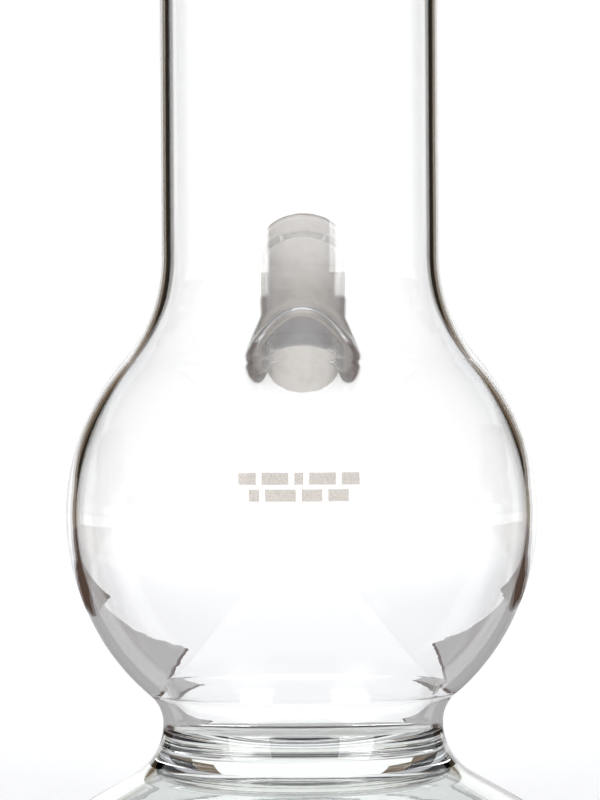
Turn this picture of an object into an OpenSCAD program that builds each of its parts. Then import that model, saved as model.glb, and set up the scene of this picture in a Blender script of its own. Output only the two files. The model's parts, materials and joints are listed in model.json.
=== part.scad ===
// Bulb-bodied laboratory glass vessel: wide straight neck, blown bulb, sealed dished
// floor, flared hollow foot and a slanted ground-cone socket on the back of the bulb.
// Z is the vessel axis, z = 0 is the bench under the foot, and the socket leans to +Y.

/* [Tube] */
// Outer diameter of the neck tube and of the waist
tube_od = 60; // [50:1:64]
// Wall thickness of the tube, bulb, foot and socket
wall = 2.2; // [1.8:0.1:2.6]
// Height of the mouth above the bench
total_h = 350; // [250:5:420]
// Thickness of the fire-polished bead around the mouth
mouth_bead = 3.8; // [3:0.2:5]

/* [Bulb] */
// Outer diameter of the bulb
bulb_od = 101.2; // [96:0.2:110]
// Outer radius of the concave shoulder between neck and bulb
shoulder_r = 34; // [20:1:40]
// Outer radius of the concave waist between bulb and foot
waist_r = 8; // [6:0.5:10]

/* [Foot] */
// Outer diameter of the foot
foot_od = 110; // [104:1:120]
// Outer radius of the flare where the foot leaves the waist
flare_r = 13; // [11:0.5:15]
// Slope of the straight foot skirt below the horizontal
skirt_slope = 30; // [25:1:35]
// Section radius of the rolled foot rim
rim_r = 1.9; // [1.6:0.1:2.2]

/* [Floor] */
// Height of the floor's underside above the bench
floor_under = 9.8; // [9:0.1:10.5]
// Radius of the floor's rounded lower edge
lip_r = 4; // [3:0.1:4.5]
// Depth of the dish in the top of the floor
dish_depth = 5.5; // [3:0.5:6.5]
// How far the dish's edge lies below the narrowest point of the waist
dish_drop = 0.8; // [0.4:0.1:1.5]

/* [Socket] */
// Elevation of the socket's axis above the horizontal
socket_tilt = 45; // [42:1:48]
// Height at which the socket's axis meets the vessel's axis
socket_aim = 55.7; // [54:0.1:58]
// Large end of the ground cone's bore
cone_bore = 18.8; // [18.4:0.1:19.2]
// Length of the ground cone
cone_len = 28; // [26:1:30]
// Length that the ground cone narrows by one unit of diameter over
cone_taper = 10; // [10:1:12]
// Plain tube between the root and the ground cone
throat_len = 2.6; // [2.5:0.1:6]
// Outer diameter of the collar at the socket's mouth
collar_od = 24.4; // [23.8:0.2:26]
// Length of the collar
collar_len = 8.4; // [7:0.2:11]
// Outer radius of the fillet where the socket leaves the bulb
root_r = 8; // [6:0.5:9]

/* [Etched mark] */
// Width of the widest row of frosted bars
mark_w = 24.4; // [20:0.2:30]
// Height of one frosted bar
bar_h = 2.4; // [2:0.2:4]
// Height of the mark's middle above the bulb's widest level
mark_rise = 7; // [2:1:10]
// Thickness of the frosted skin
mark_t = 0.12; // [0.1:0.02:0.2]

/* [Hidden] */
$fn = 96;

tube_r = tube_od / 2;
bore_r = tube_r - wall;
bulb_r = bulb_od / 2;

// The flare's centre and the skirt's middle line, worked up from the rim on the bench.
rim_flat = 0.25;
rim_reach = sqrt(rim_r * rim_r - wall * wall / 4);
flare_c = tube_r + flare_r;
flare_mid = flare_r + wall / 2;
flare_turn = 90 - skirt_slope;
skirt_in = flare_c - flare_mid * cos(flare_turn);
skirt_out = foot_od / 2 - rim_r - rim_reach * cos(skirt_slope);
skirt_len = (skirt_out - skirt_in) / cos(skirt_slope);
rim_z = rim_r - rim_flat;
skirt_end_z = rim_z + rim_reach * sin(skirt_slope);
waist_z = skirt_end_z + skirt_len * sin(skirt_slope) + flare_mid * sin(flare_turn);

// The bulb's height, and where its fillets meet it.
low_turn = acos((tube_r + waist_r) / (bulb_r + waist_r));
high_turn = acos((tube_r + shoulder_r) / (bulb_r + shoulder_r));
bulb_z = waist_z + (bulb_r + waist_r) * sin(low_turn);
neck_z = bulb_z + (bulb_r + shoulder_r) * sin(high_turn);

// The mouth bead.
bead_r = mouth_bead / 2;
mouth_z = total_h - mouth_bead - 4;

// The floor's dish is part of a sphere through the dish's edge and its lowest point.
dish_edge_z = waist_z - dish_drop;
dish_r = (bore_r * bore_r + dish_depth * dish_depth) / (2 * dish_depth);
dish_low = dish_edge_z - dish_depth;

// The floor's lower edge leaves the flare where its rounding starts.
lip_z = floor_under + lip_r;
lip_c = flare_c - sqrt(pow(flare_r + wall, 2) - pow(waist_z - lip_z, 2)) - lip_r;

// The socket: its root stands square on the bulb, and its tube follows the slanted axis.
// The root's fillet is sunk a little into the bulb, so that it ends in a clean edge.
root_sink = 0.3;
throat_bore = cone_bore / 2 - cone_len / cone_taper / 2;
throat_r = throat_bore + wall;
root_c = throat_r + root_r;
root_h = sqrt(pow(bulb_r + root_r, 2) - root_c * root_c) - root_sink;
root_edge = root_c * bulb_r / (bulb_r + root_r);
aim_drop = bulb_z - socket_aim;
root_s = aim_drop * sin(socket_tilt) + sqrt(pow(root_h, 2) - pow(aim_drop * cos(socket_tilt), 2));
root_tilt = atan2(root_s * sin(socket_tilt) - aim_drop, root_s * cos(socket_tilt));
cone_s = root_s + throat_len;
collar_s = cone_s + cone_len;
collar_wall = (collar_od - cone_bore) / 2;

glass = [0.80, 0.88, 0.86, 0.45];
ground = [0.78, 0.77, 0.74, 0.80];
frost = [0.93, 0.94, 0.94, 0.90];

function arc_points(x, y, r, a1, a2, n) =
    [for (i = [0:n]) [x + r * cos(a1 + (a2 - a1) * i / n), y + r * sin(a1 + (a2 - a1) * i / n)]];

function reverse(points) = [for (i = [len(points) - 1:-1:0]) points[i]];

// The bulb's outline from the waist ring up to the neck, at depth t below its outer surface.
function bulb_outline(t) = concat(
    arc_points(0, bulb_z, bulb_r - t, -low_turn, high_turn, 30),
    arc_points(tube_r + shoulder_r, neck_z, shoulder_r + t, 180 + high_turn, 180, 12)
);

// Part of a ring between radii r1 and r2 around (x, y), from angle a1 to angle a2.
module arc_band(x, y, r1, r2, a1, a2) {
    far = 2 * r2;
    mid = (a1 + a2) / 2;
    translate([x, y])
        intersection() {
            difference() {
                circle(r2);
                circle(r1);
            }
            polygon([
                [0, 0],
                far * [cos(a1), sin(a1)],
                far * [cos(mid), sin(mid)],
                far * [cos(a2), sin(a2)]
            ]);
        }
}

// Half a disc of radius r with its flat side down on y = 0.
module half_disc(r) {
    intersection() {
        circle(r);
        translate([-2 * r, 0])
            square([4 * r, 2 * r]);
    }
}

// Places its children on the socket's slanted axis, at distance s from the vessel's axis.
module on_socket_axis(s) {
    translate([0, 0, socket_aim])
        rotate([socket_tilt - 90, 0, 0])
            translate([0, 0, s])
                children();
}

// Places its children on the line from the bulb's centre through the socket's root.
module on_root_axis() {
    translate([0, 0, bulb_z])
        rotate([root_tilt - 90, 0, 0])
            children();
}

// The way through the bulb's wall, the root and the throat.
module socket_bore() {
    on_socket_axis(cone_s - bulb_r / 2)
        cylinder(h = bulb_r, r = throat_bore);
}

module mouth_ring() {
    color(glass)
        rotate_extrude() {
            polygon([
                [bore_r, mouth_z],
                [tube_r, mouth_z],
                [bore_r + mouth_bead, total_h - mouth_bead],
                [bore_r + mouth_bead, total_h - bead_r],
                [bore_r, total_h - bead_r]
            ]);
            translate([bore_r + bead_r, total_h - bead_r])
                half_disc(bead_r);
        }
}

module neck_tube() {
    color(glass)
        translate([0, 0, neck_z])
            difference() {
                cylinder(h = mouth_z - neck_z, r = tube_r);
                translate([0, 0, -1])
                    cylinder(h = mouth_z - neck_z + 2, r = bore_r);
            }
}

module bulb() {
    color(glass)
        difference() {
            rotate_extrude()
                polygon(concat(bulb_outline(0), reverse(bulb_outline(wall))));
            socket_bore();
        }
}

module waist_ring() {
    color(glass)
        rotate_extrude()
            arc_band(tube_r + waist_r, waist_z, waist_r, waist_r + wall, 180 - low_turn, 180);
}

module chamber_floor() {
    color(glass)
        rotate_extrude()
            difference() {
                union() {
                    translate([0, lip_z])
                        square([flare_c - wall, waist_z - lip_z]);
                    translate([0, floor_under])
                        square([lip_c, lip_r + 1]);
                    translate([lip_c, lip_z])
                        circle(lip_r);
                }
                translate([0, dish_low + dish_r])
                    circle(dish_r);
                translate([flare_c, waist_z])
                    circle(flare_r + wall);
            }
}

module foot_flare() {
    color(glass)
        rotate_extrude()
            arc_band(flare_c, waist_z, flare_r, flare_r + wall, 180, 180 + flare_turn);
}

module foot_skirt() {
    color(glass)
        rotate_extrude()
            translate([skirt_out, skirt_end_z])
                rotate(-skirt_slope)
                    translate([-skirt_len, -wall / 2])
                        square([skirt_len, wall]);
}

module foot_rim() {
    color(glass)
        rotate_extrude()
            difference() {
                translate([foot_od / 2 - rim_r, rim_z])
                    circle(rim_r);
                translate([skirt_out, skirt_end_z])
                    rotate(-skirt_slope)
                        translate([-4 * rim_r, -2 * rim_r])
                            square([4 * rim_r, 4 * rim_r]);
                translate([0, -rim_r])
                    square([foot_od, rim_r]);
            }
}

module branch_root() {
    color(glass)
        difference() {
            on_root_axis()
                rotate_extrude()
                    difference() {
                        translate([0, root_h - 2 * root_r])
                            square([root_edge, 2 * root_r]);
                        translate([root_c, root_h])
                            circle(root_r);
                    }
            rotate_extrude()
                polygon(concat([[0, bulb_z - bulb_r / 2]], bulb_outline(0), [[0, neck_z]]));
            socket_bore();
        }
}

module branch_tube() {
    color(glass)
        difference() {
            on_socket_axis(cone_s - 2 * throat_len)
                cylinder(h = 2 * throat_len, r = throat_r);
            socket_bore();
            on_root_axis()
                cylinder(h = root_h, r = 2 * throat_r);
        }
}

module ground_socket() {
    color(ground)
        on_socket_axis(cone_s)
            rotate_extrude()
                polygon([
                    [throat_bore, 0],
                    [throat_r, 0],
                    [cone_bore / 2 + wall, cone_len],
                    [cone_bore / 2, cone_len]
                ]);
}

module socket_collar() {
    chamfer = collar_od / 2 - cone_bore / 2 - wall;
    color(glass)
        on_socket_axis(collar_s)
            rotate_extrude() {
                polygon([
                    [cone_bore / 2, 0],
                    [cone_bore / 2 + wall, 0],
                    [collar_od / 2, 2 * chamfer],
                    [collar_od / 2, collar_len - collar_wall / 2],
                    [cone_bore / 2, collar_len - collar_wall / 2]
                ]);
                translate([cone_bore / 2 + collar_wall / 2, collar_len - collar_wall / 2])
                    half_disc(collar_wall / 2);
            }
}

// One row of plain frosted bars: the lengths are shares of the row's width.
module bar_row(shares, width, z) {
    gap = 1.2;
    n = len(shares);
    total = [for (i = 0, t = 0; i <= n; t = t + (i < n ? shares[i] : 0), i = i + 1) t];
    unit = (width - gap * (n - 1)) / total[n];
    for (i = [0:n - 1])
        translate([total[i] * unit + gap * i - width / 2, -bulb_r - 1, z - bar_h / 2])
            cube([shares[i] * unit, bulb_r, bar_h]);
}

module etched_mark() {
    color(frost)
        intersection() {
            translate([0, 0, bulb_z])
                difference() {
                    sphere(bulb_r + mark_t);
                    sphere(bulb_r);
                }
            union() {
                bar_row([2, 3, 1, 3, 2], mark_w, bulb_z + mark_rise + bar_h * 0.7);
                bar_row([1, 3, 2, 2], mark_w * 0.82, bulb_z + mark_rise - bar_h * 0.7);
            }
        }
}

mouth_ring();
neck_tube();
bulb();
waist_ring();
chamber_floor();
foot_flare();
foot_skirt();
foot_rim();
branch_root();
branch_tube();
ground_socket();
socket_collar();
etched_mark();
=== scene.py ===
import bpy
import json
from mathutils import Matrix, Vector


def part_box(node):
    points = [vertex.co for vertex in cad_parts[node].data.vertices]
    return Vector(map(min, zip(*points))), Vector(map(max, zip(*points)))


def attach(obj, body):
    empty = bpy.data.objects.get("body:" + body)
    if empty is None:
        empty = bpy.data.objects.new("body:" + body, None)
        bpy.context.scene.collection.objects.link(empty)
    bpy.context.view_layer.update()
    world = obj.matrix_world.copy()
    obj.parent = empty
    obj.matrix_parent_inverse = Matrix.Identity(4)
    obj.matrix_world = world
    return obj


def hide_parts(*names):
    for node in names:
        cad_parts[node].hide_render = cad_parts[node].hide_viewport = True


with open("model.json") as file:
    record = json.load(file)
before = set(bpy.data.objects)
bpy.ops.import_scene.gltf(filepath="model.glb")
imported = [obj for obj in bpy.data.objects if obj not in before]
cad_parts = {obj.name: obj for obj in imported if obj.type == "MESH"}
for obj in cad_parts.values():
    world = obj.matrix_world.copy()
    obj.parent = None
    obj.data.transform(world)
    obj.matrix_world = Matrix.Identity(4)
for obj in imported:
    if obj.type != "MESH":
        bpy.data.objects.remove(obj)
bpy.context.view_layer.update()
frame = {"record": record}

import json
import math

import bpy
import numpy as np

MM = 0.001

# A clear glass vessel: twelve pieces of fused glass and an etched mark. Each piece is a finely
# divided mesh that takes the place of the CAD node of the same name. Sizes are in metres.

# ---------------------------------------------------------------- sizes, from the frame
MOUNTS = {m["name"]: m for m in frame["record"]["mounts"]}
BORE_R = MOUNTS["neck_bore"]["dims"]["r_mm"] * MM
THROAT_BORE = MOUNTS["socket_throat"]["dims"]["r_mm"] * MM
TUBE_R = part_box("neck_tube")[1].x
WALL = TUBE_R - BORE_R
NECK_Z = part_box("neck_tube")[0].z
MOUTH_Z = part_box("mouth_ring")[0].z
TOTAL_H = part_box("mouth_ring")[1].z
BULB_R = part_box("bulb")[1].x
BULB_LOW_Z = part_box("bulb")[0].z
WAIST_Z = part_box("waist_ring")[0].z
FLOOR_LOW, FLOOR_HIGH = (corner.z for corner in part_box("chamber_floor"))
FOOT_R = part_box("foot_rim")[1].x
RIM_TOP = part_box("foot_rim")[1].z
BEAD_R = (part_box("mouth_ring")[1].x - BORE_R) / 2
# Four sizes that no box or mount gives: they are the CAD's own values.
RIM_FLAT = 0.25 * MM
SKIRT_SLOPE = math.radians(30)
DISH_DEPTH = 5.5 * MM
LIP_R = 4 * MM
RIM_R = (RIM_TOP + RIM_FLAT) / 2
FLARE_TURN = math.pi / 2 - SKIRT_SLOPE
FLARE_R = (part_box("foot_flare")[1].x - TUBE_R) / (1 - math.cos(FLARE_TURN))

# The socket's axis, and distances along it from the vessel's axis.
SOCKET_DIR = np.array(MOUNTS["socket_throat"]["axis"])
SOCKET_DIR = SOCKET_DIR / np.linalg.norm(SOCKET_DIR)
THROAT_POINT = np.array(MOUNTS["socket_throat"]["pos_m"])
SOCKET_AIM = THROAT_POINT - SOCKET_DIR * (THROAT_POINT[1] / SOCKET_DIR[1])
SOCKET_SIDE = np.array([1.0, 0.0, 0.0])
SOCKET_DOWN = np.cross(SOCKET_DIR, SOCKET_SIDE)
THROAT_R = THROAT_BORE + WALL


def along_socket(name, end):
    """Distance along the socket's axis to the middle of a mount's bore, or to one of its ends."""
    middle = (np.array(MOUNTS[name]["pos_m"]) - SOCKET_AIM) @ SOCKET_DIR
    return middle + end * MOUNTS[name]["dims"]["length_mm"] * MM / 2


CONE_S = along_socket("socket_throat", 1)
COLLAR_S = along_socket("collar_bore", -1)
COLLAR_TOP = along_socket("collar_bore", 1)
CONE_LEN = COLLAR_S - CONE_S
COLLAR_BORE = MOUNTS["collar_bore"]["dims"]["r_mm"] * MM
CONE_GROWTH = COLLAR_BORE - THROAT_BORE
COLLAR_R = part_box("socket_collar")[1].x
# The clear stretch between the root and the ground cone, as in the CAD.
THROAT_LEN = 2.6 * MM
ROOT_S = CONE_S - THROAT_LEN
# In the crotch between socket and neck the outer fillet ends further out along the socket,
# and the inner rounding ends further in.
CROTCH_LIFT = 8 * MM
CROTCH_SINK = 3.5 * MM
# How far the foot of the fillet lies from the socket's axis: to the sides, in the crotch, below.
OUTER_REACH = (17 * MM, 20.5 * MM, 22.5 * MM)
INNER_REACH = (17 * MM, 11 * MM, 22 * MM)

# Quads round a turned piece.
ROUND = 192


def fillet_height(radius):
    """Height between a fillet's centre and the bulb's centre."""
    return math.sqrt((BULB_R + radius) ** 2 - (TUBE_R + radius) ** 2)


def solve(wanted, value, low, high):
    """The number between low and high at which the rising function value is as wanted."""
    for _ in range(60):
        middle = (low + high) / 2
        if value(middle) < wanted:
            low = middle
        else:
            high = middle
    return (low + high) / 2


WAIST_R = solve(
    BULB_LOW_Z - WAIST_Z, lambda f: f * fillet_height(f) / (BULB_R + f), 1 * MM, 30 * MM
)
BULB_Z = WAIST_Z + fillet_height(WAIST_R)
SHOULDER_R = solve(NECK_Z - BULB_Z, fillet_height, 1 * MM, 90 * MM)
LOW_TURN = math.acos((TUBE_R + WAIST_R) / (BULB_R + WAIST_R))
HIGH_TURN = math.acos((TUBE_R + SHOULDER_R) / (BULB_R + SHOULDER_R))


# ---------------------------------------------------------------- outlines
# An outline is an array of rows (r, z, normal r, normal z), in order along a surface.
def arc(centre_r, centre_z, radius, start, end, steps, outward=1):
    """A round stretch. Its normals point away from the centre, or at it where outward is -1."""
    angles = np.linspace(start, end, steps + 1)
    cos, sin = np.cos(angles), np.sin(angles)
    return np.stack(
        [centre_r + radius * cos, centre_z + radius * sin, outward * cos, outward * sin], 1
    )


def line(start, end, steps, normal):
    """A straight stretch between two points (r, z), with one normal all along."""
    share = np.linspace(0, 1, steps + 1)[:, None]
    points = np.array(start) * (1 - share) + np.array(end) * share
    return np.hstack([points, np.tile(np.array(normal) / np.hypot(*normal), (steps + 1, 1))])


def joined(*stretches):
    """One outline from stretches that each start where the last one ends."""
    return np.vstack([stretches[0]] + [s[1:] for s in stretches[1:]])


def bulb_outline(depth, side):
    """The bulb from waist ring to neck, at a depth below its outer surface. side is 1 for the
    outer surface and -1 for the inner one."""
    return joined(
        arc(0, BULB_Z, BULB_R - depth, -LOW_TURN, HIGH_TURN, 72, side),
        arc(
            TUBE_R + SHOULDER_R, NECK_Z, SHOULDER_R + depth,
            math.pi + HIGH_TURN, math.pi, 30, -side,
        ),
    )


# ---------------------------------------------------------------- mesh building
# Places of the materials in every piece's list.
CLEAR, WELD, GROUND = 0, 1, 2
# Corners closer together than this become one.
MERGE_GRID = 0.0002 * MM


class Skin:
    """Collects quads with their own normals, and makes one closed mesh of them."""

    def __init__(self):
        self.points = []
        self.faces = []
        self.normals = []
        self.slots = []

    def sheet(self, points, normals, slot=CLEAR, flip=False):
        """Adds a grid of points (rows, columns, 3) as quads. Normals None takes each face's own."""
        base = len(self.points)
        rows, columns = points.shape[:2]
        self.points.extend(points.reshape(-1, 3))
        for i in range(rows - 1):
            for j in range(columns - 1):
                quad = [(i, j), (i, j + 1), (i + 1, j + 1), (i + 1, j)]
                if flip:
                    quad.reverse()
                self.faces.append([base + a * columns + b for a, b in quad])
                self.normals.append(None if normals is None else [normals[a, b] for a, b in quad])
                self.slots.append(slot)

    def build(self, name, materials):
        """Merges corners that meet, drops faces that shrink to a line, and makes the object."""
        keys = np.round(np.array(self.points) / MERGE_GRID).astype(np.int64)
        _, first, where = np.unique(keys, axis=0, return_index=True, return_inverse=True)
        where = where.reshape(-1)
        faces, normals, slots = [], [], []
        for face, face_normals, slot in zip(self.faces, self.normals, self.slots):
            corners = []
            for k, v in enumerate(face):
                if where[v] not in [c[0] for c in corners]:
                    corners.append((int(where[v]), None if face_normals is None else face_normals[k]))
            if len(corners) > 2:
                faces.append([c[0] for c in corners])
                normals.append([c[1] for c in corners])
                slots.append(slot)
        mesh = bpy.data.meshes.new(name)
        mesh.from_pydata([tuple(self.points[i]) for i in first], [], faces)
        mesh.polygons.foreach_set("material_index", slots)
        mesh.polygons.foreach_set("use_smooth", [True] * len(faces))
        mesh.update()
        loops = []
        for polygon, corner_normals in zip(mesh.polygons, normals):
            for n in corner_normals:
                loops.append(tuple(polygon.normal) if n is None else tuple(n))
        mesh.normals_split_custom_set(loops)
        obj = bpy.data.objects.new(name, mesh)
        for material in materials:
            mesh.materials.append(material)
        bpy.context.scene.collection.objects.link(obj)
        return obj


def turned(outline, angles, on_socket=False):
    """Points and normals of an outline turned about the vessel's axis or the socket's, as grids
    with a row for each row of the outline and a column for each angle."""
    if on_socket:
        side, across, along, start = SOCKET_SIDE, SOCKET_DOWN, SOCKET_DIR, SOCKET_AIM
    else:
        side, across, along = np.eye(3)
        start = np.zeros(3)
    out = np.cos(angles)[:, None] * side + np.sin(angles)[:, None] * across
    r, z, normal_r, normal_z = (outline[:, k][:, None, None] for k in range(4))
    return start + r * out + z * along, normal_r * out + normal_z * along


def circle_angles(count):
    return np.linspace(0, 2 * math.pi, count + 1)


def lathe(name, surfaces, welds, materials):
    """A piece turned about the vessel's axis. surfaces are (outline, slot), all in one direction
    round the section, and welds are pairs of outline points that the fused faces run between."""
    skin = Skin()
    angles = circle_angles(ROUND)
    for outline, slot in surfaces:
        points, normals = turned(outline, angles)
        skin.sheet(points, normals, slot)
    for start, end in welds:
        points, _ = turned(line(start[:2], end[:2], 1, (1, 0)), angles)
        skin.sheet(points, None, WELD)
    return skin.build(name, materials)


# ---------------------------------------------------------------- materials
GLASS_IOR = 1.473


def nodes_of(name):
    """A new material, with its node tree and its shader."""
    material = bpy.data.materials.new(name)
    material.use_nodes = True
    tree = material.node_tree
    return material, tree, tree.nodes["Principled BSDF"]


def noise(tree, scale, detail=3.0, stretch=(1, 1, 1)):
    """A noise texture in the object's own coordinates."""
    coords = tree.nodes.new("ShaderNodeTexCoord")
    mapping = tree.nodes.new("ShaderNodeMapping")
    mapping.inputs["Scale"].default_value = stretch
    texture = tree.nodes.new("ShaderNodeTexNoise")
    texture.inputs["Scale"].default_value = scale
    texture.inputs["Detail"].default_value = detail
    tree.links.new(coords.outputs["Object"], mapping.inputs["Vector"])
    tree.links.new(mapping.outputs["Vector"], texture.inputs["Vector"])
    return texture.outputs["Fac"]


def ramp(tree, value, low, high, low_value, high_value):
    """Maps a value's low to high range onto two numbers or colours."""
    node = tree.nodes.new("ShaderNodeValToRGB")
    node.color_ramp.elements[0].position = low
    node.color_ramp.elements[1].position = high
    for element, wanted in zip(node.color_ramp.elements, (low_value, high_value)):
        colour = (wanted,) * 3 if isinstance(wanted, float) else wanted
        element.color = (*colour, 1)
    tree.links.new(value, node.inputs["Fac"])
    return node.outputs["Color"]


def bump(tree, height, distance, below=None):
    """A bump of a height map, over another bump's normal where one is given."""
    node = tree.nodes.new("ShaderNodeBump")
    node.inputs["Distance"].default_value = distance
    node.inputs["Strength"].default_value = 1
    tree.links.new(height, node.inputs["Height"])
    if below is not None:
        tree.links.new(below, node.inputs["Normal"])
    return node.outputs["Normal"]


def glass(name, tint, deep_tint, wave, streak):
    """Clear glass: drawn waviness, faint streaks, sparse dull specks and a slight uneven tint."""
    material, tree, shader = nodes_of(name)
    shader.inputs["Transmission Weight"].default_value = 1
    shader.inputs["IOR"].default_value = GLASS_IOR
    tree.links.new(
        ramp(tree, noise(tree, 14, 2), 0.35, 0.65, tint, deep_tint), shader.inputs["Base Color"]
    )
    tree.links.new(
        ramp(tree, noise(tree, 900, 2), 0.70, 0.80, 0.0, 0.10), shader.inputs["Roughness"]
    )
    waves = bump(tree, noise(tree, 22, 2, (1, 1, 0.35)), wave)
    streaks = bump(tree, noise(tree, 60, 3, (1, 1, 8)), streak, waves)
    tree.links.new(streaks, shader.inputs["Normal"])
    return material


def weld_material():
    """For the faces at which two pieces are fused: light goes straight through them."""
    material, _, shader = nodes_of("fused_face")
    shader.inputs["Base Color"].default_value = (1, 1, 1, 1)
    shader.inputs["Alpha"].default_value = 0
    return material


def ground_material():
    """The ground inside of the socket: warm grey and finely pitted."""
    material, tree, shader = nodes_of("ground_taper")
    shader.inputs["Transmission Weight"].default_value = 0.85
    shader.inputs["IOR"].default_value = GLASS_IOR
    tree.links.new(
        ramp(tree, noise(tree, 320, 4), 0.3, 0.7, (0.60, 0.55, 0.495), (0.71, 0.665, 0.61)),
        shader.inputs["Base Color"],
    )
    tree.links.new(
        ramp(tree, noise(tree, 700, 3), 0.3, 0.7, 0.42, 0.58), shader.inputs["Roughness"]
    )
    tree.links.new(bump(tree, noise(tree, 2600, 2), 0.02 * MM), shader.inputs["Normal"])
    return material


def frost_material():
    """The etched bars: warm grey, grainy and half see-through."""
    material, tree, shader = nodes_of("etched_frost")
    grain = noise(tree, 2400, 3)
    tree.links.new(
        ramp(tree, grain, 0.3, 0.7, (0.34, 0.29, 0.24), (0.42, 0.37, 0.31)),
        shader.inputs["Base Color"],
    )
    tree.links.new(ramp(tree, grain, 0.3, 0.7, 0.34, 0.5), shader.inputs["Alpha"])
    shader.inputs["Roughness"].default_value = 0.7
    return material


CLEAR_GLASS = glass(
    "clear_glass", tint=(1.0, 1.0, 1.0), deep_tint=(0.992, 0.996, 0.992),
    wave=0.1 * MM, streak=0.004 * MM,
)
FLOOR_GLASS = glass(
    "floor_glass", tint=(0.86, 0.85, 0.83), deep_tint=(0.80, 0.79, 0.77),
    wave=0.5 * MM, streak=0.02 * MM,
)
FOOT_GLASS = glass(
    "foot_glass", tint=(0.945, 0.965, 0.95), deep_tint=(0.91, 0.94, 0.92),
    wave=0.2 * MM, streak=0.01 * MM,
)
FUSED = weld_material()
GROUND_GLASS = ground_material()
FROST = frost_material()
BODY_MATERIALS = [CLEAR_GLASS, FUSED, GROUND_GLASS]
FLOOR_MATERIALS = [FLOOR_GLASS, FUSED]
FOOT_MATERIALS = [FOOT_GLASS, FUSED]


# ---------------------------------------------------------------- pieces on the vessel's axis
def mouth_ring():
    """The tube widens under the bead, and the bead rolls over into the bore."""
    bead_z = TOTAL_H - BEAD_R
    bead_out = BORE_R + 2 * BEAD_R
    widening_normal = (4.0, -1.6)
    section = joined(
        line((TUBE_R, MOUTH_Z), (bead_out, bead_z - BEAD_R), 8, widening_normal),
        line((bead_out, bead_z - BEAD_R), (bead_out, bead_z), 3, (1, 0)),
        arc(BORE_R + BEAD_R, bead_z, BEAD_R, 0, math.pi, 32),
        line((BORE_R, bead_z), (BORE_R, MOUTH_Z), 8, (-1, 0)),
    )
    welds = [(section[-1], section[0])]
    return lathe("mouth_ring_glass", [(section, CLEAR)], welds, BODY_MATERIALS)


def walled(name, outer, inner, materials):
    """A piece with an outer and an inner surface, and fused faces at both ends."""
    welds = [(outer[-1], inner[0]), (inner[-1], outer[0])]
    return lathe(name, [(outer, CLEAR), (inner, CLEAR)], welds, materials)


def neck_tube():
    outer = line((TUBE_R, NECK_Z), (TUBE_R, MOUTH_Z), 40, (1, 0))
    inner = line((BORE_R, MOUTH_Z), (BORE_R, NECK_Z), 40, (-1, 0))
    return walled("neck_tube_glass", outer, inner, BODY_MATERIALS)


def waist_ring():
    centre = TUBE_R + WAIST_R
    outer = arc(centre, WAIST_Z, WAIST_R, math.pi, math.pi - LOW_TURN, 20, -1)
    inner = arc(centre, WAIST_Z, WAIST_R + WALL, math.pi - LOW_TURN, math.pi, 20, 1)
    return walled("waist_ring_glass", outer, inner, BODY_MATERIALS)


# The section of the foot's flare is an arc about this point at the height of the waist.
FLARE_C = TUBE_R + FLARE_R
FLARE_INNER = FLARE_R + WALL


def flare_angle(z):
    """Angle about the flare's centre of the spot of its inner surface at a height."""
    return math.pi + math.asin((WAIST_Z - z) / FLARE_INNER)


# The floor is fused to the flare from its rounded lip up to its edge.
FLOOR_LIP_Z = FLOOR_LOW + LIP_R
FLOOR_LIP_ANGLE = flare_angle(FLOOR_LIP_Z)
FLOOR_EDGE_ANGLE = flare_angle(FLOOR_HIGH)


def chamber_floor():
    edge_r = FLARE_C + FLARE_INNER * math.cos(FLOOR_EDGE_ANGLE)
    lip_c = FLARE_C + FLARE_INNER * math.cos(FLOOR_LIP_ANGLE) - LIP_R
    dish_r = (edge_r**2 + DISH_DEPTH**2) / (2 * DISH_DEPTH)
    dish_turn = math.asin(edge_r / dish_r)
    dish = arc(
        0, FLOOR_HIGH - DISH_DEPTH + dish_r, dish_r,
        -math.pi / 2 + dish_turn, -math.pi / 2, 40, -1,
    )
    under = joined(
        line((0, FLOOR_LOW), (lip_c, FLOOR_LOW), 20, (0, -1)),
        arc(lip_c, FLOOR_LIP_Z, LIP_R, -math.pi / 2, 0, 20),
    )
    weld = arc(FLARE_C, WAIST_Z, FLARE_INNER, FLOOR_LIP_ANGLE, FLOOR_EDGE_ANGLE, 24, -1)
    surfaces = [(dish, CLEAR), (under, CLEAR), (weld, WELD)]
    return lathe("chamber_floor_glass", surfaces, [], FLOOR_MATERIALS)


def foot_flare():
    """The inner surface is free above and below the stretch that the floor is fused to."""
    low_angle = math.pi + FLARE_TURN
    outer = arc(FLARE_C, WAIST_Z, FLARE_R, low_angle, math.pi, 36, -1)
    above = arc(FLARE_C, WAIST_Z, FLARE_INNER, math.pi, FLOOR_EDGE_ANGLE, 2)
    behind = arc(FLARE_C, WAIST_Z, FLARE_INNER, FLOOR_EDGE_ANGLE, FLOOR_LIP_ANGLE, 24)
    below = arc(FLARE_C, WAIST_Z, FLARE_INNER, FLOOR_LIP_ANGLE, low_angle, 12)
    surfaces = [(outer, CLEAR), (above, CLEAR), (behind, WELD), (below, CLEAR)]
    welds = [(outer[-1], above[0]), (below[-1], outer[0])]
    return lathe("foot_flare_glass", surfaces, welds, FOOT_MATERIALS)


def skirt_points():
    """The skirt's section: outer top, outer end, inner end, inner top, and its outer normal."""
    along = np.array([math.cos(SKIRT_SLOPE), -math.sin(SKIRT_SLOPE)])
    up = np.array([math.sin(SKIRT_SLOPE), math.cos(SKIRT_SLOPE)])
    middle = np.array([FLARE_C, WAIST_Z]) - (FLARE_R + WALL / 2) * up
    rim_reach = math.sqrt(RIM_R**2 - WALL**2 / 4)
    end_r = FOOT_R - RIM_R - rim_reach * along[0]
    end = middle + along * (end_r - middle[0]) / along[0]
    half = up * WALL / 2
    return middle + half, end + half, end - half, middle - half, up


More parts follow.
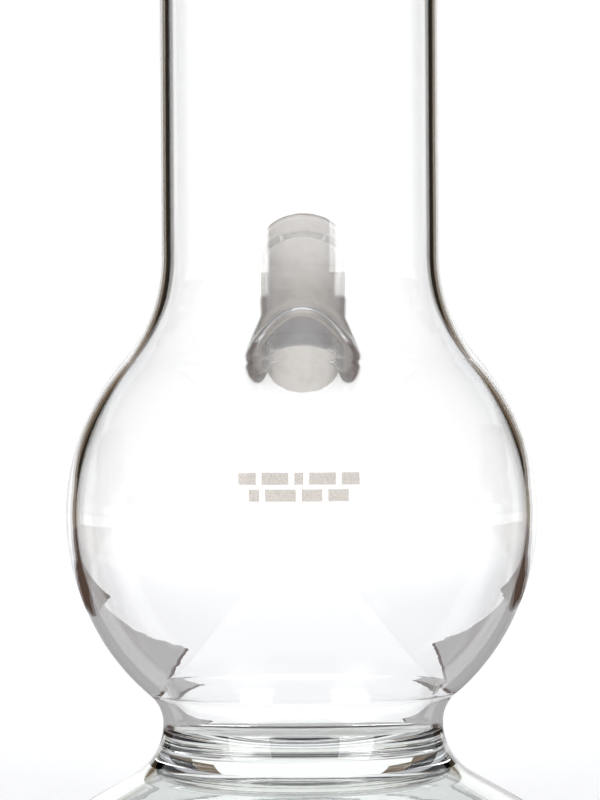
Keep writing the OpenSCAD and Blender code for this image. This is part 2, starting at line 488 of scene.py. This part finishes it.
def foot_skirt():
    top, end, inner_end, inner_top, up = skirt_points()
    outer = line(end, top, 20, up)
    inner = line(inner_top, inner_end, 20, -up)
    return walled("foot_skirt_glass", outer, inner, FOOT_MATERIALS)


def foot_rim():
    """A round bead at the skirt's end, with a narrow flat that it stands on."""
    _, end, inner_end, _, _ = skirt_points()
    centre = np.array([FOOT_R - RIM_R, RIM_R - RIM_FLAT])
    start = math.atan2(*(inner_end - centre)[::-1]) + 2 * math.pi
    finish = math.atan2(*(end - centre)[::-1]) + 2 * math.pi
    flat_turn = math.asin((RIM_R - RIM_FLAT) / RIM_R)
    first = arc(*centre, RIM_R, start, math.pi + flat_turn, 16)
    second = arc(*centre, RIM_R, 2 * math.pi - flat_turn, finish, 28)
    standing = line(first[-1][:2], second[0][:2], 2, (0, -1))
    surfaces = [(first, CLEAR), (standing, CLEAR), (second, CLEAR)]
    return lathe("foot_rim_glass", surfaces, [(second[-1], first[0])], FOOT_MATERIALS)


# ---------------------------------------------------------------- the hole and the socket's root
# The hole sits in a window of the bulb's grid, and rings of quads fill the window round it.
WINDOW_LOW, WINDOW_HIGH = BULB_Z + 1 * MM, NECK_Z - 1.5 * MM
WINDOW_SIDE = int(ROUND * 34 / 360)
HOLE_RINGS = 10
# Between these distances along the socket's axis, every line through the hole leaves the vessel.
SEARCH_NEAR, SEARCH_FAR = 42 * MM, 82 * MM


def at(outline, position):
    """The outline's row at a fractional position along it."""
    rows = np.arange(len(outline))
    return np.array([np.interp(position, rows, outline[:, k]) for k in range(4)])


def on_vessel(row, turn):
    """Point and normal of an outline row at an angle about the vessel's axis."""
    r, z, nr, nz = row
    n = np.array([nr * math.cos(turn), nr * math.sin(turn), nz])
    return np.array([r * math.cos(turn), r * math.sin(turn), z]), n / np.linalg.norm(n)


def round_socket(theta):
    """The direction away from the socket's axis at an angle: 0 is the side, 90 degrees is down."""
    return math.cos(theta) * SOCKET_SIDE + math.sin(theta) * SOCKET_DOWN


def hole_reach(theta, reaches):
    """Distance of the hole's edge from the socket's axis: the hole is egg-shaped."""
    side, crotch, low = reaches
    return side + ((low if math.sin(theta) > 0 else crotch) - side) * math.sin(theta) ** 2


def hole_point(outline, theta, reaches):
    """Where the line through that spot of the hole's edge, along the socket, leaves a surface."""
    start = SOCKET_AIM + hole_reach(theta, reaches) * round_socket(theta)

    def outside(s):
        p = start + s * SOCKET_DIR
        return math.hypot(p[0], p[1]) - np.interp(p[2], outline[:, 1], outline[:, 0])

    p = start + solve(0, outside, SEARCH_NEAR, SEARCH_FAR) * SOCKET_DIR
    position = np.interp(p[2], outline[:, 1], np.arange(len(outline)))
    return position, math.atan2(p[1], p[0])


def window(outline):
    """Numbers of the outline's rows at the window's lower and upper edge."""
    low, high = np.interp((WINDOW_LOW, WINDOW_HIGH), outline[:, 1], np.arange(len(outline)))
    return int(low), int(high) + 1


def holed_surface(skin, outline, reaches, inward):
    """Adds the bulb's outer or inner surface with the hole, and returns the hole's edge as
    (theta, point, normal) rows."""
    angles = circle_angles(ROUND) + math.pi / 2
    low, high = window(outline)
    points, normals = turned(outline, angles)
    left, right = WINDOW_SIDE, ROUND - WINDOW_SIDE
    # The grid below the window, above it and beside it.
    for rows, columns in (
        (slice(0, low + 1), slice(0, ROUND + 1)),
        (slice(high, len(outline)), slice(0, ROUND + 1)),
        (slice(low, high + 1), slice(left, right + 1)),
    ):
        skin.sheet(points[rows, columns], normals[rows, columns], CLEAR, inward)
    # Once round the window's border, and from each spot there to the hole's edge.
    spots = [(low, j) for j in range(-left, left)]
    spots += [(i, left) for i in range(low, high)]
    spots += [(high, j) for j in range(left, -left, -1)]
    spots += [(i, -left) for i in range(high, low, -1)]
    spots.append(spots[0])
    grid = np.zeros((HOLE_RINGS + 1, len(spots), 3))
    grid_normals = np.zeros_like(grid)
    edge = []
    for k, (row, column) in enumerate(spots):
        turn = math.pi / 2 + column * 2 * math.pi / ROUND
        corner, _ = on_vessel(outline[row], turn)
        offset = corner - SOCKET_AIM
        theta = math.atan2(offset @ SOCKET_DOWN, offset @ SOCKET_SIDE)
        hole_row, hole_turn = hole_point(outline, theta, reaches)
        for ring in range(HOLE_RINGS + 1):
            share = ring / HOLE_RINGS
            where = hole_row * (1 - share) + row * share
            angle = hole_turn * (1 - share) + turn * share
            grid[ring, k], grid_normals[ring, k] = on_vessel(at(outline, where), angle)
        edge.append((theta, grid[0, k], grid_normals[0, k]))
    skin.sheet(grid, grid_normals, CLEAR, not inward)
    return edge


def outer_radius(s):
    """The socket's outer radius at a distance along its axis."""
    return THROAT_R + CONE_GROWTH * max(0.0, s - CONE_S) / CONE_LEN


def crotch_share(theta):
    """One in the crotch, falling to zero on the socket's lower side."""
    return ((1 - math.sin(theta)) / 2) ** 2


def fillet_end(theta):
    """Distance along the socket's axis at which the outer fillet meets the tube."""
    return ROOT_S + CROTCH_LIFT * crotch_share(theta)


def bore_start(theta):
    """Distance along the socket's axis at which the straight bore starts."""
    return ROOT_S - CROTCH_SINK * crotch_share(theta)


def socket_ring(thetas, distance, radius):
    """Points and normals round the socket at a distance and radius that may vary with theta."""
    out = np.array([round_socket(t) for t in thetas])
    along = np.array([distance(t) for t in thetas])[:, None] * SOCKET_DIR
    radii = np.array([radius(t) for t in thetas])[:, None]
    return SOCKET_AIM + along + radii * out, out


def bulb_and_root():
    """The bulb with its hole, the root that flows from the hole into the socket's throat, and the
    angles round the socket that both share with the pieces further out."""
    outer, inner = bulb_outline(0, 1), bulb_outline(WALL, -1)
    skin = Skin()
    outer_edge = holed_surface(skin, outer, OUTER_REACH, False)
    inner_edge = holed_surface(skin, inner, INNER_REACH, True)
    angles = circle_angles(ROUND) + math.pi / 2
    for start, end, flip in ((outer[-1], inner[-1], False), (outer[0], inner[0], True)):
        points, _ = turned(line(start[:2], end[:2], 1, (1, 0)), angles)
        skin.sheet(points, None, WELD, flip)
    seam = np.array([[p for _, p, _ in outer_edge], [p for _, p, _ in inner_edge]])
    skin.sheet(seam, None, WELD)
    bulb = skin.build("bulb_glass", BODY_MATERIALS)

    root = Skin()
    rings = []
    for edge, inward in ((outer_edge, False), (inner_edge, True)):
        points, normals = saddle(edge, inward)
        root.sheet(points, normals, CLEAR, inward)
        rings.append(points)
    root.sheet(np.array([rings[0][-1], rings[1][-1]]), None, WELD)
    root.sheet(seam, None, WELD, True)
    thetas = [theta for theta, _, _ in outer_edge]
    return bulb, root.build("branch_root_glass", BODY_MATERIALS), thetas


SADDLE_STEPS = 28
# How firmly each curve keeps to the directions at its ends, as a share of its length.
SADDLE_PULL = 1.15


def saddle(edge, inward):
    """A smooth surface from the hole's edge up to the throat: one Hermite curve for each angle,
    which leaves along the bulb and arrives along the socket."""
    points = np.zeros((SADDLE_STEPS + 1, len(edge), 3))
    for k, (theta, foot, normal) in enumerate(edge):
        out = round_socket(theta)
        end = bore_start(theta) if inward else fillet_end(theta)
        top = SOCKET_AIM + end * SOCKET_DIR + (THROAT_BORE if inward else outer_radius(end)) * out
        away = SOCKET_DIR * (out @ normal) / (normal @ SOCKET_DIR) - out
        away = away / np.linalg.norm(away)
        pull = SADDLE_PULL * np.linalg.norm(top - foot)
        for i in range(SADDLE_STEPS + 1):
            t = i / SADDLE_STEPS
            points[i, k] = (
                (2 * t**3 - 3 * t**2 + 1) * foot
                + (t**3 - 2 * t**2 + t) * pull * away
                + (3 * t**2 - 2 * t**3) * top
                + (t**3 - t**2) * pull * SOCKET_DIR
            )
    # Normals across the surface come from its own slopes. Its two ends match their neighbours.
    ring = points[:, :-1]
    around = np.roll(ring, -1, 1) - np.roll(ring, 1, 1)
    upward = np.gradient(ring, axis=0)
    normals = np.cross(around, upward)
    normals /= np.linalg.norm(normals, axis=2, keepdims=True)
    normals = np.concatenate([normals, normals[:, :1]], 1)
    side = -1 if inward else 1
    middle = points[SADDLE_STEPS // 2, 0] - points[SADDLE_STEPS // 2].mean(0)
    if normals[SADDLE_STEPS // 2, 0] @ middle * side < 0:
        normals = -normals
    for k, (theta, _, normal) in enumerate(edge):
        normals[0, k] = normal
        normals[-1, k] = side * round_socket(theta)
    return points, normals


# ---------------------------------------------------------------- pieces on the socket's axis
SLEEVE_STEPS = 12


def socket_sheet(thetas, low, high, depth):
    """Points and normals of the socket's wall between two curves, at a depth below its outside."""
    rings = []
    for i in range(SLEEVE_STEPS + 1):
        share = i / SLEEVE_STEPS

        def distance(theta):
            return low(theta) * (1 - share) + high(theta) * share

        rings.append(socket_ring(thetas, distance, lambda t: outer_radius(distance(t)) - depth))
    return (np.array([ring[k] for ring in rings]) for k in (0, 1))


def sleeve(name, thetas, outer_ends, bore_ends):
    """A stretch of the socket with a ground bore. Fused faces close both ends."""
    skin = Skin()
    points, normals = socket_sheet(thetas, *outer_ends, 0)
    skin.sheet(points, normals, CLEAR)
    bore, bore_normals = socket_sheet(thetas, *bore_ends, WALL)
    skin.sheet(bore, -bore_normals, GROUND, True)
    skin.sheet(np.array([points[-1], bore[-1]]), None, WELD)
    skin.sheet(np.array([points[0], bore[0]]), None, WELD, True)
    return skin.build(name, BODY_MATERIALS)


def tube_end(theta):
    """Distance along the socket's axis at which the outer surface of the clear stretch ends."""
    return fillet_end(theta) + THROAT_LEN


def cone_start(_):
    return CONE_S


def cone_end(_):
    return COLLAR_S


def branch_tube(thetas):
    return sleeve("branch_tube_glass", thetas, (fillet_end, tube_end), (bore_start, cone_start))


def ground_socket(thetas):
    return sleeve("ground_socket_glass", thetas, (tube_end, cone_end), (cone_start, cone_end))


def socket_collar(thetas):
    """The collar steps out from the socket's wall. Its rim and bore are ground."""
    body = COLLAR_BORE + WALL
    edge_r = (COLLAR_R - COLLAR_BORE) / 2
    step = 2 * (COLLAR_R - body)
    step_normal = (2, -1)
    outer = joined(
        line((body, COLLAR_S), (COLLAR_R, COLLAR_S + step), 4, step_normal),
        line((COLLAR_R, COLLAR_S + step), (COLLAR_R, COLLAR_TOP), 6, (1, 0)),
    )
    bore = joined(
        arc(COLLAR_BORE + edge_r, COLLAR_TOP, edge_r, 0, math.pi, 24),
        line((COLLAR_BORE, COLLAR_TOP), (COLLAR_BORE, COLLAR_S), 8, (-1, 0)),
    )
    skin = Skin()
    points, normals = turned(outer, np.array(thetas), True)
    bore_points, bore_normals = turned(bore, np.array(thetas), True)
    skin.sheet(points, normals, CLEAR)
    skin.sheet(bore_points, bore_normals, GROUND)
    skin.sheet(np.array([bore_points[-1], points[0]]), None, WELD)
    return skin.build("socket_collar_glass", BODY_MATERIALS)


# ---------------------------------------------------------------- the etched mark
BAR_GAP = 1.2 * MM
# The mark is this many bars high, with the space between the rows.
ROWS_IN_BARS = 2.4
# For each row, the bars' widths as shares, and the row's width as a part of the mark's.
UPPER_BARS, UPPER_WIDTH = (2, 3, 1, 3, 2), 1
LOWER_BARS, LOWER_WIDTH = (1, 3, 2, 2), 0.82
# Heights of a bar's front and back over the bulb's surface.
FROST_FRONT, FROST_BACK = 0.12 * MM, 0.02 * MM


def etched_mark():
    """Two rows of plain frosted bars, as thin closed skins on the bulb."""
    low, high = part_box("etched_mark")
    bar_h = (high.z - low.z) / ROWS_IN_BARS
    skin = Skin()
    for shares, part, bottom in (
        (UPPER_BARS, UPPER_WIDTH, high.z - bar_h),
        (LOWER_BARS, LOWER_WIDTH, low.z),
    ):
        width = part * (high.x - low.x)
        unit = (width - BAR_GAP * (len(shares) - 1)) / sum(shares)
        left = -width / 2
        for share in shares:
            add_bar(skin, left, left + share * unit, bottom, bottom + bar_h)
            left += share * unit + BAR_GAP
    return skin.build("etched_mark_frost", [FROST])


def add_bar(skin, left, right, bottom, top):
    """Adds one bar that follows the bulb: a front, a back and four edges."""
    x, z = np.meshgrid(np.linspace(left, right, 13), np.linspace(bottom, top, 9))
    layers = []
    for height in (FROST_FRONT, FROST_BACK):
        y = -np.sqrt((BULB_R + height) ** 2 - x**2 - (z - BULB_Z) ** 2)
        layers.append(np.stack([x, y, z], 2))
    front, back = layers
    out = front - np.array([0, 0, BULB_Z])
    out = out / np.linalg.norm(out, axis=2, keepdims=True)
    skin.sheet(front, out)
    skin.sheet(back, -out, flip=True)
    for edge in (lambda g: g[0], lambda g: g[:, -1], lambda g: g[-1, ::-1], lambda g: g[::-1, 0]):
        skin.sheet(np.array([edge(back), edge(front)]), None)


# ---------------------------------------------------------------- placing the pieces
def belongs(obj, node):
    """Attaches a piece to the root body and hides the CAD node that it takes the place of."""
    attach(obj, "root")
    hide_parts(node)


belongs(mouth_ring(), "mouth_ring")
belongs(neck_tube(), "neck_tube")
belongs(waist_ring(), "waist_ring")
belongs(chamber_floor(), "chamber_floor")
belongs(foot_flare(), "foot_flare")
belongs(foot_skirt(), "foot_skirt")
belongs(foot_rim(), "foot_rim")
bulb_obj, root_obj, socket_thetas = bulb_and_root()
belongs(bulb_obj, "bulb")
belongs(root_obj, "branch_root")
belongs(branch_tube(socket_thetas), "branch_tube")
belongs(ground_socket(socket_thetas), "ground_socket")
belongs(socket_collar(socket_thetas), "socket_collar")
belongs(etched_mark(), "etched_mark")


# ---------------------------------------------------------------- stage, lamps and camera
def one_sided(name, colour, glow):
    """For a card that shows only from its front. It glows, or is matt where glow is 0."""
    material, tree, shader = nodes_of(name)
    shader.inputs["Base Color"].default_value = (*colour, 1) if glow == 0 else (0, 0, 0, 1)
    shader.inputs["Roughness"].default_value = 0.9
    shader.inputs["Specular IOR Level"].default_value = 0
    shader.inputs["Emission Color"].default_value = (*colour, 1)
    shader.inputs["Emission Strength"].default_value = glow
    clear = tree.nodes.new("ShaderNodeBsdfTransparent")
    mix = tree.nodes.new("ShaderNodeMixShader")
    geometry = tree.nodes.new("ShaderNodeNewGeometry")
    tree.links.new(geometry.outputs["Backfacing"], mix.inputs["Fac"])
    tree.links.new(shader.outputs[0], mix.inputs[1])
    tree.links.new(clear.outputs[0], mix.inputs[2])
    tree.links.new(mix.outputs[0], tree.nodes["Material Output"].inputs["Surface"])
    return material


def bench_material():
    material, tree, shader = nodes_of("bench_white")
    tint = ramp(tree, noise(tree, 6, 2), 0.3, 0.7, (0.84, 0.84, 0.84), (0.87, 0.87, 0.87))
    tree.links.new(tint, shader.inputs["Base Color"])
    shader.inputs["Roughness"].default_value = 0.6
    shader.inputs["Emission Color"].default_value = (1, 1, 1, 1)
    shader.inputs["Emission Strength"].default_value = 0.35
    return material


def stage_face(name, corners, material, seen=True):
    """A flat stage piece. An unseen one shows only in the glass: not to the camera, not in the
    light on matt surfaces, and without a shadow."""
    mesh = bpy.data.meshes.new(name)
    mesh.from_pydata([tuple(c) for c in corners], [], [range(len(corners))])
    mesh.materials.append(material)
    obj = bpy.data.objects.new(name, mesh)
    bpy.context.scene.collection.objects.link(obj)
    if not seen:
        obj.visible_camera = obj.visible_diffuse = obj.visible_shadow = False


BENCH_R = 3
BACK_Y = 0.9
BACK_H = 0.45
# Half widths of the white backdrop, which narrows between two heights at the bulb's level. Brown
# and then dark cards stand beside it.
LOW_WHITE, HIGH_WHITE = 0.52, 0.356
LOW_Z, HIGH_Z = 0.10, 0.16
HIGH_BROWN, DARK_HALF = 0.537, 0.95
# Mats lie on the bench to the left and right, and leave a white lane free between them. A faintly
# lilac sheet of painted shade, a near-white glow dimmed to the bench's shade near the vessel, covers
# the near part of a dark brown mat, which shows as a thin line along the lane and as a broad strip
# further back.
LANE, NEAR_HALF, SPREAD_HALF, MAT_HALF = 0.052, 0.128, 0.28, 0.95
MAT_FRONT, FAR_NEAR, MAT_BACK, FAR_BACK = -0.3, 0.16, 0.345, 0.48
MAT_EDGE, MAT_Z = 0.0012, 0.0005

BACKDROP_WHITE = one_sided("backdrop_white", (1, 1, 1), 1.12)
CARD_BROWN = one_sided("side_brown", (0.30, 0.22, 0.14), 0.6)
CARD_DARK = one_sided("side_dark", (0.006, 0.006, 0.006), 0)
MAT_BROWN = one_sided("mat_brown", (0.10, 0.065, 0.05), 0.9)
# Painted shade: a near-white card with a low glow gives the grey of the bench in shade near the
# vessel.
PAINTED_BENCH_SHADE = one_sided("bench_shade_painted", (0.99, 0.97, 0.98), 0.45)


def upright(outline):
    """Corners (x, z) as a card standing at the back."""
    return [(x, BACK_Y, z) for x, z in outline]


def flat(outline, z):
    """Corners (x, y) as a mat at a height over the bench."""
    return [(x, y, z) for x, y in outline]


def on_side(side, outline):
    """A shape drawn for the right side: as it is, or mirrored to the left with its front kept."""
    return [(side * across, other) for across, other in outline[::side]]


bench = [(BENCH_R * math.cos(a), BENCH_R * math.sin(a), 0) for a in circle_angles(96)[:-1]]
stage_face("bench", bench, bench_material())

white_edge = [(LOW_WHITE, 0), (LOW_WHITE, LOW_Z), (HIGH_WHITE, HIGH_Z), (HIGH_WHITE, BACK_H)]
stage_face("backdrop", upright(on_side(-1, white_edge) + white_edge), BACKDROP_WHITE)

brown_edge = [(DARK_HALF, 0), (HIGH_BROWN, HIGH_Z), (HIGH_BROWN, BACK_H)]
brown_card = [white_edge[0], *brown_edge, *white_edge[:0:-1]]
dark_card = [(DARK_HALF, 0), (DARK_HALF, BACK_H), (HIGH_BROWN, BACK_H), (HIGH_BROWN, HIGH_Z)]
brown_mat = [
    (LANE, MAT_FRONT),
    (MAT_HALF, MAT_FRONT),
    (MAT_HALF, BACK_Y),
    (LOW_WHITE, BACK_Y),
    (SPREAD_HALF, FAR_BACK),
    (NEAR_HALF, FAR_BACK),
    (NEAR_HALF, MAT_BACK),
    (LANE, MAT_BACK),
]
# The outline of the painted bench shade, inset from the brown mat's edge along the lane.
bench_shade_patch = [
    (LANE + MAT_EDGE, MAT_FRONT),
    (MAT_HALF, MAT_FRONT),
    (MAT_HALF, FAR_NEAR),
    (NEAR_HALF, FAR_NEAR),
    (NEAR_HALF, MAT_BACK - MAT_EDGE),
    (LANE + MAT_EDGE, MAT_BACK - MAT_EDGE),
]
for side, word in ((-1, "left"), (1, "right")):
    stage_face(f"brown_{word}", upright(on_side(side, brown_card)), CARD_BROWN, False)
    stage_face(f"dark_{word}", upright(on_side(side, dark_card)), CARD_DARK, False)
    stage_face(f"mat_under_{word}", flat(on_side(side, brown_mat), MAT_Z), MAT_BROWN, False)
    # The painted bench shade lies just over the brown mat.
    stage_face(f"painted_shade_{word}", flat(on_side(side, bench_shade_patch), 2 * MAT_Z), PAINTED_BENCH_SHADE, False)

SOFTBOX_REACH = 0.95
SOFTBOX_Z = 0.34
SOFTBOX_TALL = 0.72
SOFTBOX_POWER = 6


def softbox(name, degrees, width):
    """An upright lamp at an angle to the right of the camera's side, facing the vessel's axis."""
    lamp = bpy.data.lights.new(name, "AREA")
    lamp.shape = "RECTANGLE"
    lamp.size, lamp.size_y = width, SOFTBOX_TALL
    lamp.energy = SOFTBOX_POWER
    obj = bpy.data.objects.new(name, lamp)
    turn = math.radians(degrees)
    obj.location = (SOFTBOX_REACH * math.sin(turn), -SOFTBOX_REACH * math.cos(turn), SOFTBOX_Z)
    obj.rotation_euler = (math.pi / 2, 0, turn)
    obj.visible_camera = False
    bpy.context.scene.collection.objects.link(obj)


softbox("softbox_left", -44, 0.60)
softbox("softbox_right", 44.5, 0.50)

scene = bpy.context.scene
world = bpy.data.worlds.new("studio")
world.use_nodes = True
sky = world.node_tree.nodes["Background"]
sky.inputs["Color"].default_value = (0.94, 0.95, 1.0, 1)
sky.inputs["Strength"].default_value = 0.55
scene.world = world

# The camera looks level at the vessel's axis, from a little to the right and slightly rolled.
CAMERA_DISTANCE = 0.732
CAMERA_HEIGHT = 92.8 * MM
CAMERA_YAW = math.radians(0.66)
CAMERA_ROLL = math.radians(0.37)
camera = bpy.data.cameras.new("camera")
camera.lens = 153.4
camera.sensor_width = 36
camera.shift_x = -0.001375
camera.clip_start = 0.01
camera.clip_end = 20
camera_obj = bpy.data.objects.new("camera", camera)
camera_obj.location = (
    CAMERA_DISTANCE * math.sin(CAMERA_YAW),
    -CAMERA_DISTANCE * math.cos(CAMERA_YAW),
    CAMERA_HEIGHT,
)
camera_obj.rotation_euler = (math.pi / 2, CAMERA_ROLL, CAMERA_YAW)
scene.collection.objects.link(camera_obj)
scene.camera = camera_obj

scene.view_settings.view_transform = "Standard"
# Light crosses many walls, and the fused faces between them, before it leaves the vessel.
scene.cycles.max_bounces = 32
scene.cycles.transmission_bounces = 32
scene.cycles.transparent_max_bounces = 64
scene.cycles.use_denoising = True
